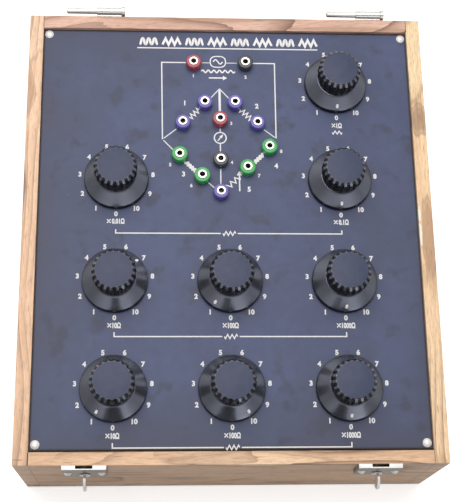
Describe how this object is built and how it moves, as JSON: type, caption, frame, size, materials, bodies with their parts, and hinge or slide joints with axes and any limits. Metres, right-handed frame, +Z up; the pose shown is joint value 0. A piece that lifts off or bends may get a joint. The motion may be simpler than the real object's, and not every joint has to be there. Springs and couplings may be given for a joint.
{
  "type": "inductance bridge",
  "caption": "Inductance bridge in a wooden case: a black panel with fluted decade dials, coloured 4 mm sockets in a bridge diagram, lift-off hinge pins and thumb-turn catches.",
  "frame": {"origin": "centre of the case's flat underside", "axes": "+Z up through the panel, +Y to the rear where the hinge pins are, +X to the right"},
  "size_m": [0.316, 0.3862, 0.137],
  "materials": {
    "case_wood": "varnished, satin",
    "inner_wood": "plain",
    "panel_sheet": "satin sheet",
    "knob_black": "polished",
    "nickel": "nickel plate",
    "brass": "turned",
    "deck_sheet": "laminate",
    "bobbin": "wound wire",
    "red_plastic": "moulded",
    "black_plastic": "moulded",
    "violet_plastic": "moulded",
    "green_plastic": "moulded"
  },
  "bodies": {
    "case": {"left_wall": "case_wood", "right_wall": "case_wood", "front_wall": "case_wood", "rear_wall": "case_wood", "bottom_board": "inner_wood", "left_batten": "inner_wood", "right_batten": "inner_wood", "front_batten": "inner_wood", "rear_batten": "inner_wood", "panel": "panel_sheet", "panel_screws": "nickel", "bush_nuts": "nickel", "socket_sleeves": "nickel", "socket_nuts": "nickel", "left_hinge": "nickel", "right_hinge": "nickel", "hinge_pins": "nickel", "hinge_screws": "nickel", "left_catch": "nickel", "right_catch": "nickel", "catch_screws": "nickel", "switch_bushes": "brass", "contact_studs": "brass", "switch_decks": "deck_sheet", "resistor_bobbins": "bobbin", "red_socket_1": "red_plastic", "red_socket_2": "red_plastic", "black_socket_1": "black_plastic", "black_socket_2": "black_plastic", "violet_socket_1": "violet_plastic", "violet_socket_2": "violet_plastic", "violet_socket_3": "violet_plastic", "violet_socket_4": "violet_plastic", "violet_socket_5": "violet_plastic", "green_socket_1": "green_plastic", "green_socket_2": "green_plastic", "green_socket_3": "green_plastic", "green_socket_4": "green_plastic"},
    "dial_1": {"knob_1": "knob_black", "rotor_1": "brass"},
    "dial_2": {"knob_2": "knob_black", "rotor_2": "brass"},
    "dial_3": {"knob_3": "knob_black", "rotor_3": "brass"},
    "dial_4": {"knob_4": "knob_black", "rotor_4": "brass"},
    "dial_5": {"knob_5": "knob_black", "rotor_5": "brass"},
    "dial_6": {"knob_6": "knob_black", "rotor_6": "brass"},
    "dial_7": {"knob_7": "knob_black", "rotor_7": "brass"},
    "dial_8": {"knob_8": "knob_black", "rotor_8": "brass"},
    "dial_9": {"knob_9": "knob_black", "rotor_9": "brass"},
    "left_turn": {"left_thumb_turn": "nickel"},
    "right_turn": {"right_thumb_turn": "nickel"}
  },
  "joints": [
    {"name": "dial_1_turn", "type": "hinge", "parent": "case", "child": "dial_1", "pos_m": [0.087, 0.1229, 0.107], "axis": [0, 0, -1], "range_deg": [0, 327.27]},
    {"name": "dial_2_turn", "type": "hinge", "parent": "case", "child": "dial_2", "pos_m": [-0.087, 0.0403, 0.107], "axis": [0, 0, -1], "range_deg": [-163.64, 163.64]},
    {"name": "dial_3_turn", "type": "hinge", "parent": "case", "child": "dial_3", "pos_m": [0.087, 0.0403, 0.107], "axis": [0, 0, -1], "range_deg": [0, 327.27]},
    {"name": "dial_4_turn", "type": "hinge", "parent": "case", "child": "dial_4", "pos_m": [-0.087, -0.0423, 0.107], "axis": [0, 0, -1], "range_deg": [-229.09, 98.18]},
    {"name": "dial_5_turn", "type": "hinge", "parent": "case", "child": "dial_5", "pos_m": [0, -0.0423, 0.107], "axis": [0, 0, -1], "range_deg": [-32.73, 294.55]},
    {"name": "dial_6_turn", "type": "hinge", "parent": "case", "child": "dial_6", "pos_m": [0.087, -0.0423, 0.107], "axis": [0, 0, -1], "range_deg": [0, 327.27]},
    {"name": "dial_7_turn", "type": "hinge", "parent": "case", "child": "dial_7", "pos_m": [-0.087, -0.1249, 0.107], "axis": [0, 0, -1], "range_deg": [-32.73, 294.55]},
    {"name": "dial_8_turn", "type": "hinge", "parent": "case", "child": "dial_8", "pos_m": [0, -0.1249, 0.107], "axis": [0, 0, -1], "range_deg": [-327.27, 0]},
    {"name": "dial_9_turn", "type": "hinge", "parent": "case", "child": "dial_9", "pos_m": [0.087, -0.1249, 0.107], "axis": [0, 0, -1], "range_deg": [0, 327.27]},
    {"name": "left_turn_lock", "type": "hinge", "parent": "case", "child": "left_turn", "pos_m": [-0.107, -0.1845, 0.091], "axis": [0, 1, 0], "range_deg": [0, 90]},
    {"name": "right_turn_lock", "type": "hinge", "parent": "case", "child": "right_turn", "pos_m": [0.107, -0.1845, 0.091], "axis": [0, -1, 0], "range_deg": [0, 90]}
  ]
}
